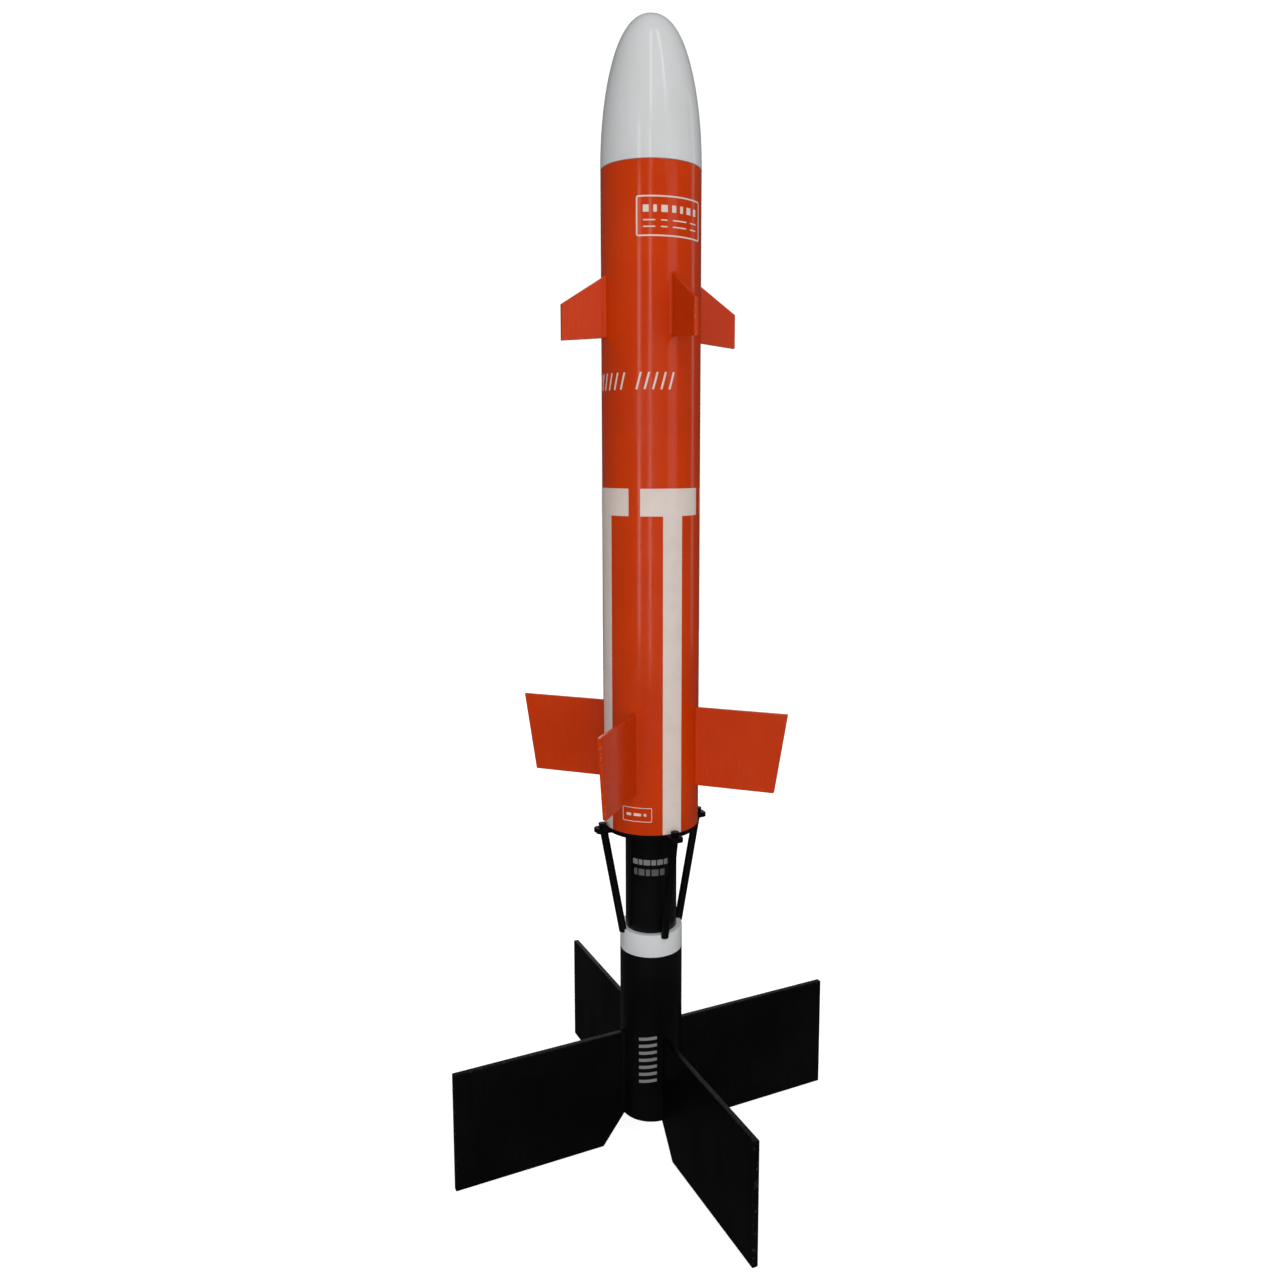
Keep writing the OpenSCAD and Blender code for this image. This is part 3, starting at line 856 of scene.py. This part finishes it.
def make_strut_plate():
    """Returns the disc under the body tube, with an ear for each strut."""
    low, high = heights("strut_plate")
    points = points_of("strut_plate")
    reach = float(points[:, 0].max())
    half = float(points[points[:, 0] > reach - TINY][:, 1].max())
    hole = radii("stuffer_tube")[1]
    disc = sum(radii("body_tube")) / 2
    edge, corner_round, arc_steps = 0.4 * MM, 2.5 * MM, 24
    start = asin(half / disc)

    def outline(inset):
        wide, root = half - inset, disc * cos(start)
        tip = reach - inset
        ear = [(root, -wide, 0), (tip, -wide, corner_round), (tip, wide, corner_round), (root, wide, 0)]
        loop = []
        for turn in FIN_TURNS:
            loop += [turned(x, y, turn) for x, y in rounded(ear)]
            spokes = spaced(start, pi / 2 - start, arc_steps)[1:-1]
            loop += [polar(disc - inset, radians(turn) + spoke) for spoke in spokes]
        return loop

    wide, narrow = outline(0.0), outline(edge)
    rim = [(hole * x / hypot(x, y), hole * y / hypot(x, y)) for x, y in wide]
    layers = [(rim, low), (narrow, low), (wide, low + edge), (wide, high - edge), (narrow, high), (rim, high)]
    made = [(x, y, height) for loop, height in layers for x, y in loop]
    shape = made, grid_faces(len(layers), len(wide), rows_close=True)
    return add_piece("strut_disc", shape, "black_inside", ["strut_plate"])


# ---- Launch lugs, eye bolt and nuts ----


def make_lugs():
    """Two short tubes for the launch rod, with a glue fillet on either side."""
    tube = radii("body_tube")[1]
    strips = []
    for place in ("upper", "lower"):
        node = f"launch_lug_{place}"
        points = points_of(node, LUG_TURN)
        low, high = heights(node)
        outer = (float(points[:, 0].max()) - tube) / 2
        bore = float(np.hypot(points[:, 0] - tube - outer, points[:, 1]).min())
        outline = tube_outline(bore, outer, low, high)
        lug = add_turned(f"lug_tube_{place}", outline, "orange_tube", [node], steps=LUG_TURN_STEPS)
        lug.data.transform(Matrix.Translation((*turned(tube + outer, 0, LUG_TURN), 0)))
        section = tube_fillet(tube, outer)
        strips += [fillet_strip(section, LUG_FILLET, low, high, LUG_TURN, side) for side in (-1, 1)]
    add_piece("lug_fillets", joined(strips), "orange_wood", sharp=60)


def thread(radius, pitch, depth):
    """For revolve: a helical thread cut so deep into the points that lie at that radius."""

    def shape(here, height, angle):
        if abs(here - radius) > TINY:
            return here
        phase = (height / pitch - angle / (2 * pi)) % 1.0
        return radius - depth * abs(2 * phase - 1)

    return shape


def threaded_side(radius, low, high, pitch):
    """Points up a threaded side, close enough together to show the thread."""
    steps = round((high - low) / pitch * 6)
    return [(radius, height) for height in spaced(low, high, steps)]


def make_eye_bolt():
    """The eye bolt through the nose's bulkhead."""
    wire, pitch, end = 1.8 * MM, 0.7 * MM, 0.5 * MM
    around, across = 72, 24
    low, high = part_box("nose_eye_bolt")
    ring = high.x - wire
    shank = high.y
    centre = low.z + high.x
    eye = []
    for turn in even_angles(around):
        for angle in even_angles(across):
            out, aside = polar(wire, angle)
            x, z = polar(ring + out, turn)
            eye.append((x, aside, centre + z))
    outline = [(0.0, centre + ring), (shank, centre + ring)]
    outline += threaded_side(shank, centre + ring + wire, high.z - end, pitch)
    outline += [(shank - end, high.z), (0.0, high.z)]
    shaft, _, sides = revolve(outline, even_angles(BOLT_TURN_STEPS), thread(shank, pitch, 0.4 * MM))
    shape = joined([(eye, grid_faces(around, across, rows_close=True)), (shaft, sides)])
    add_piece("eye_bolt", shape, "zinc_steel", ["nose_eye_bolt"], "nose")


def make_nuts():
    """Hexagon nuts, chamfered at both ends, above and below the bulkhead."""
    points = points_of("nose_eye_nuts")
    reach_x, reach_y = (float(points[:, axis].max()) for axis in (0, 1))
    flat = min(reach_x, reach_y)
    first_flat = 0 if reach_x < reach_y else pi / 6
    low, high = heights("nose_eye_nuts")
    tall = heights("nose_bulkhead")[0] - low
    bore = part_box("nose_eye_bolt")[1].y
    layers, chamfer_slope = 12, 1.6
    parts = []
    for bottom in (low, high - tall):
        outline = [(flat, height) for height in spaced(bottom, bottom + tall, layers)]
        outline += [(bore, bottom + tall), (bore, bottom)]

        def hexagon(here, height, angle):
            if here < flat:
                return here
            offset = off_middle(angle - first_flat, 6)
            chamfer = flat + chamfer_slope * min(height - bottom, bottom + tall - height)
            return min(flat / cos(offset), chamfer)

        made, _, faces = revolve(outline, even_angles(SMALL_TURN_STEPS), hexagon)
        parts.append((made, faces))
    add_piece("eye_nuts", joined(parts), "zinc_steel", ["nose_eye_nuts"], "nose")


# ---- Motor and its retainer ----


def make_retainer():
    """The threaded retainer body, and the cap that screws on it, with grip notches round its rim."""
    inner, outer, low, high = extent("retainer_body")
    pitch = 1.5 * MM
    outline = [(inner, high), (inner, low)] + threaded_side(outer, low, high, pitch)
    winding = thread(outer, pitch, 0.5 * MM)
    nodes = ["retainer_body"]
    add_turned("retainer_thread", outline, "retainer_black", nodes, steps=SMALL_TURN_STEPS, shape=winding)

    notches, notch_round, notch_out = 16, 1.3 * MM, 0.5 * MM
    hole, wide, bottom, top = extent("retainer_cap")
    lip = bottom + 2 * MM
    notch_top = bottom + 4 * MM
    inside = outer + 0.3 * MM
    corners = [
        (hole, bottom, 0.4 * MM), (wide, bottom, 0.6 * MM),
        (wide, notch_top, 0), (wide, notch_top + TINY, 0),
        (wide, top, 0.4 * MM), (inside, top, 0.2 * MM),
        (inside, lip, 0), (hole, lip, 0.3 * MM),
    ]

    def notched(here, height, angle):
        if here < inside + RIM_ROUND or height > notch_top:
            return here
        offset = off_middle(angle, notches)
        centre = wide + notch_out
        aside = centre * sin(offset)
        if abs(aside) > notch_round:
            return here
        return min(here, centre * cos(offset) - sqrt(notch_round**2 - aside**2))

    nodes = ["retainer_cap"]
    add_turned("cap_shell", rounded(corners), "anodised_cap", nodes, "cap", CAP_TURN_STEPS, notched)


def make_motor():
    """The motor's paper case with its thrust ring, and its clay nozzle."""
    inner, flange, low, high = extent("motor_case")
    outer = radii("motor_case", high)[1]
    ledge = low + 2.9 * MM
    edge, soft = 0.4 * MM, 1.2 * MM
    corners = [
        (inner, low, edge), (flange, low, edge), (flange, ledge, edge),
        (outer, ledge, 0), (outer, high, edge), (inner, high, edge),
    ]
    add_turned("case_shell", rounded(corners), "motor_paper", ["motor_case"], "motor", CASE_TURN_STEPS)

    throat, wide, low, high = extent("motor_nozzle")
    corners = [
        (radii("motor_nozzle", low)[0], low, edge), (wide, low, 0),
        (wide, high, 0), (radii("motor_nozzle", high)[0], high, edge),
        (throat, low + 0.7 * (high - low), soft), (throat, low + 0.55 * (high - low), soft),
    ]
    add_turned("nozzle_plug", rounded(corners), "nozzle_clay", ["motor_nozzle"], "motor", SMALL_TURN_STEPS)


# ---- Parachute and wadding ----


def smooth_noise(x, y, z):
    return noise.noise(Vector((x, y, z)))


def make_parachute():
    """The canopy, folded to a strip as wide as the roll is long, and rolled up.

    One bulge pattern moves every turn of the roll alike, so that the turns never cross.
    """
    _, outer, low, high = extent("parachute")
    radius = outer - 0.6 * MM
    tall, middle = high - low, (low + high) / 2
    strip_length = CANOPY_AREA / tall
    pitch = pi * radius**2 / strip_length
    core = 2 * pitch
    turns = (radius - core) / pitch
    steps, rows, end_round, bulging = round(turns * 48), 14, 8 * MM, 0.03
    points = []
    for angle, here in zip(spaced(0, 2 * pi * turns, steps), spaced(core, radius, steps)):
        over = max(0.0, here - (radius - end_round))
        reach = tall / 2 - end_round + sqrt(end_round**2 - over**2)
        for rise in spaced(-reach, reach, rows):
            bulge = smooth_noise(*polar(2.2, angle), rise / (22 * MM))
            wide = here * (1 - bulging + bulging * bulge)
            points.append((*polar(wide, angle), middle + rise))
    shape = points, grid_faces(steps + 1, rows + 1, row_closes=False)
    piece = add_piece("parachute_roll", shape, "parachute_nylon", ["parachute"], sharp=80)
    add_modifier(piece, "cloth_thickness", "SOLIDIFY", thickness=0.1 * MM, offset=0)


def make_wadding():
    """Three crumpled squares of flame-proof tissue on each other."""
    _, outer, low, high = extent("wadding")
    radius = outer - 0.5 * MM
    count, crease, rings, steps = 3, 4.0 * MM, 70, 240
    slab = (high - low) / count
    faces = [[0, 1 + step, 1 + (step + 1) % steps] for step in range(steps)]
    faces += grid_faces(rings, steps, start=1)
    for number in range(1, count + 1):
        middle = low + slab * (number - 0.5)
        points = [(0.0, 0.0, middle)]
        for distance in spaced(0, radius, rings)[1:]:
            for angle in even_angles(steps):
                x, y = polar(distance, angle)
                drift = 1.6 * smooth_noise(x / (14 * MM), y / (14 * MM), 3.0 * number)
                first = (x + 0.3 * y) / crease + drift
                second = (y - 0.4 * x) / crease - drift + 0.37 * number
                fold = abs(2 * (first % 1.0) - 1) + abs(2 * (second % 1.0) - 1) - 1
                points.append((x, y, middle + 0.46 * slab * fold))
        name = f"wadding_sheet_{number}"
        nodes = ["wadding"] if number == 1 else []
        piece = add_piece(name, (points, faces), "wadding_cloth", nodes, sharp=60)


# ---- CAD nodes that stay ----


def paint_kept_nodes():
    """Gives each CAD node that still shows the material of its slot in the record."""
    for name, paint in KEPT_NODES.items():
        for material_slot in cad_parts[name].material_slots:
            material_slot.material = paints[paint]


# ---- Marks and stripes ----


def bent_marks(name, shapes, tube_node, centre, paint="white_vinyl", nodes=()):
    """Thin vinyl shapes bent round a tube, with their x = 0 at the angle centre, in degrees.

    A shape is a loop of (arc length, height) points, or a pair of loops for an open frame.
    """
    radius = radii(tube_node)[1]
    work = bmesh.new()
    for shape in shapes:
        loops = shape if isinstance(shape, tuple) else (shape,)
        rows = [[work.verts.new((x, -VINYL_SINK, z)) for x, z in loop] for loop in loops]
        if len(rows) == 1:
            work.faces.new(rows[0])
            continue
        outer, inner = rows
        for step in range(len(outer)):
            after = (step + 1) % len(outer)
            work.faces.new((outer[step], outer[after], inner[after], inner[step]))
    spread = [vertex.co.x for vertex in work.verts]
    cut_x = min(spread) + BEND_STEP
    while cut_x < max(spread):
        everything = work.verts[:] + work.edges[:] + work.faces[:]
        bmesh.ops.bisect_plane(work, geom=everything, plane_co=(cut_x, 0, 0), plane_no=(1, 0, 0))
        cut_x += BEND_STEP
    for vertex in extruded(work, work.faces[:]):
        vertex.co.y = VINYL
    for vertex in work.verts:
        angle = radians(centre) + vertex.co.x / radius
        vertex.co = (*polar(radius + vertex.co.y, angle), vertex.co.z)
    bmesh.ops.recalc_face_normals(work, faces=work.faces[:])
    add_piece(name, work, paint, nodes)


def drawn(corners, steps):
    """An outline of a mark, whose corners (arc length, height, radius) are in millimetres."""
    return rounded([(x * MM, z * MM, radius * MM) for x, z, radius in corners], steps)


def box_shape(left, right, low, high, corner=0.4):
    places = ((left, low), (right, low), (right, high), (left, high))
    return drawn([(*place, corner) for place in places], 3)


def frame_shape(half, low, high, line):
    inner = box_shape(line - half, half - line, low + line, high - line, 0.6 * line)
    return box_shape(-half, half, low, high, 1.6 * line), inner


def bar_shape(*corners):
    return drawn([(x, z, 0.3) for x, z in corners], 2)


def block_row(left, low, high, widths, gap):
    """Plain blocks of these widths in a row."""
    shapes = []
    for width in widths:
        shapes.append(box_shape(left, left + width, low, high))
        left += width + gap
    return shapes


def make_tees():
    """The four T-shaped stripes on the body tube, each as a crossbar and a stem."""
    tube = radii("body_tube")[1]
    low, high = heights("tee_stripes")
    points = points_of("tee_stripes")
    reach = radians(44)
    near = points[points[:, 0] > tube * cos(reach)]

    def half_width(height):
        level = at_height(near, height)
        return tube * atan2(float(level[:, 1].max()), float(level[:, 0].min()))

    bar, stem, foot = half_width(high), half_width(low), low + RIM_ROUND
    foot_top, corner = low + 10 * MM, 0.5 * MM
    step_z = float(points[points[:, 2] > foot_top][:, 2].min())
    right = [(stem, foot, 0), (stem, step_z, 0), (bar, step_z, corner), (bar, high, corner)]
    tee = rounded(right + [(-x, z, radius) for x, z, radius in reversed(right)])
    for number, turn in enumerate(FIN_TURNS, 1):
        nodes = ["tee_stripes"] if number == 1 else []
        bent_marks(f"tee_vinyl_{number}", [tee], "body_tube", turn, nodes=nodes)


def make_marks():
    """Plain frames, blocks and bars where the rocket carries its markings, in millimetres."""
    shapes = [frame_shape(27.7, 722.5, 751, 1.1)]
    shapes += block_row(-22.6, 739.4, 744.4, (4.2, 2.6, 4.8, 3.4, 2.6, 4.2, 3.0), 3.3)
    for low in (733.4, 728.8):
        shapes += block_row(-22.6, low, low + 0.9, (9, 5, 12, 7), 4)
    bent_marks("upper_label", shapes, "body_tube", -90.6)

    low, high, width, lean, pitch = 613.8, 626.4, 1.5, 3.4, 6.2
    lefts = [-pitch * step for step in range(5)] + [-pitch * (step + 6.1) for step in range(6)]
    bars = [bar_shape((x, low), (x + width, low), (x + width + lean, high), (x + lean, high)) for x in lefts]
    bent_marks("middle_marks", bars, "body_tube", -96)

    shapes = [frame_shape(12, 283.6, 295, 0.5)] + block_row(-8.6, 288.2, 290.4, (4, 6, 2), 2.1)
    bent_marks("lower_label", shapes, "body_tube", -132.6)

    blocks = block_row(-15, 241.8, 246.2, (4.6, 3.2, 5.4, 3.8, 4.8, 3.4), 0.9)
    bent_marks("stuffer_marks_upper", blocks, "stuffer_tube", -117.5, "grey_vinyl")
    blocks = block_row(-12.6, 233, 238.4, (3, 5, 3.4, 5.6, 4), 1.2)
    bent_marks("stuffer_marks_lower", blocks, "stuffer_tube", -121, "dim_vinyl")

    half, slant, tall = 7.4, 2.2, 2.6
    bars = []
    for step in range(7):
        low = 58 + 6.1 * step
        right = low + slant
        bars.append(bar_shape((-half, low), (half, right), (half, right + tall), (-half, low + tall)))
    bent_marks("booster_marks", bars, "booster_tube", -121.6, "grey_vinyl")


# ---- Stage ----


def make_camera():
    """The camera at the rocket's front left, level with the body tube."""
    camera = linked("camera", bpy.data.cameras.new("camera"))
    camera.location = facing(CAMERA_DISTANCE, CAMERA_AZIMUTH, CAMERA_HEIGHT)
    camera.rotation_euler = (radians(90 - CAMERA_DIP), 0, radians(CAMERA_AZIMUTH))
    camera.data.lens = CAMERA_LENS
    camera.data.shift_x, camera.data.shift_y = CAMERA_SHIFT
    camera.data.clip_end = 50
    bpy.context.scene.camera = camera


def add_softbox(name, turn, distance, height, width, tall, power, shines=True):
    """A soft rectangular light at an angle from the camera's direction, aimed at the rocket's middle.

    One that doesn't shine lights the paint but isn't mirrored in it.
    """
    light = bpy.data.lights.new(name, "AREA")
    light.shape = "RECTANGLE"
    light.size, light.size_y = width, tall
    light.energy = power
    lamp = linked(name, light)
    lamp.location = facing(distance, CAMERA_AZIMUTH + turn, height)
    aim = Vector((0, 0, (cad_box[0].z + cad_box[1].z) / 2)) - lamp.location
    lamp.rotation_euler = aim.to_track_quat("-Z", "Y").to_euler()
    lamp.visible_camera = False
    lamp.visible_glossy = shines


def make_floor():
    """A pale floor that isn't mirrored in the paint."""
    span = 12.0
    corners = [(-span, -span, 0), (span, -span, 0), (span, span, 0), (-span, span, 0)]
    mesh = bpy.data.meshes.new("floor")
    mesh.from_pydata(corners, [], [(0, 1, 2, 3)])
    look = Look("floor_paper", roughness=0.9, Emission_Strength=0.8, Specular_IOR_Level=0.0)
    feed(look.surface.inputs["Emission Color"], (1, 1, 1))
    look.tint(look.noise(400 * MM), (0.6, 0.6, 0.6), (0.63, 0.63, 0.63))
    mesh.materials.append(look.material)
    floor = linked("floor", mesh)
    apply_settings(floor, {"visible_glossy": False, "visible_diffuse": False})


def make_surround():
    """A white surround, dim in the paint's reflections and paler behind the rocket."""
    world = bpy.data.worlds.new("surround")
    bpy.context.scene.world = world
    world.use_nodes = True
    tree = world.node_tree
    rays = add_node(tree, "LightPath").outputs
    strength = 0.32
    for ray, seen in (("Is Glossy Ray", 0.05), ("Is Camera Ray", 1.05)):
        strength = add_node(tree, "Mix", {0: rays[ray], 2: strength, 3: seen}).outputs[0]
    background = tree.nodes["Background"].inputs
    feed(background["Strength"], strength)
    feed(background["Color"], (1, 1, 1))


def make_lights():
    """Softboxes and strips that show in the gloss, and fills that don't."""
    for name, turn, distance, height, width, tall, power in (
        ("key_softbox", 50, 2.3, 0.9, 0.9, 1.7, 2.8),
        ("left_strip", -27, 2.3, 0.9, 0.22, 1.7, 2.8),
        ("front_strip", -2, 1.9, 0.8, 0.12, 1.5, 1.6),
        ("right_strip", 112, 2.0, 0.9, 0.3, 1.7, 1.2),
        ("top_strip_1", 0, 1.3, 2.2, 0.12, 1.6, 2.0),
        ("top_strip_2", 36, 1.3, 2.2, 0.12, 1.6, 2.0),
        ("back_softbox", 180, 2.4, 0.9, 0.9, 1.7, 6),
    ):
        add_softbox(name, turn, distance, height, width, tall, power)
    fill_distance, fill_size = 1.8, 1.2
    for name, turn, height, power in (
        ("top_fill", 10, 2.3, 11),
        ("front_fill", 12, 0.5, 4.5),
        ("low_fill", -20, 0.2, 3),
        ("back_fill", 200, 0.9, 10),
    ):
        add_softbox(name, turn, fill_distance, height, fill_size, fill_size, power, shines=False)


# ---- Build ----

make_camera()
paints = make_paints()
make_nose()
make_tubes()
collar = make_collar()
make_plates("canard", "canard", FIN_TURNS, "body_tube", "orange_wood", PLATE_BEVEL, FILLET, tabs=False)
make_plates("wing", "wing", WING_TURNS, "body_tube", "orange_wood", PLATE_BEVEL, FILLET, tabs=True)
make_plates("fin", "booster_fin", FIN_TURNS, "booster_tube", "black_fin", FIN_BEVEL, FIN_FILLET, tabs=True)
dowels = make_struts()
cut(collar, dowels)
cut(make_strut_plate(), dowels)
make_lugs()
make_eye_bolt()
make_nuts()
make_retainer()
make_motor()
make_wadding()
make_parachute()
paint_kept_nodes()
make_tees()
make_marks()
make_floor()
make_surround()
make_lights()
bpy.context.scene.view_settings.view_transform = "Standard"
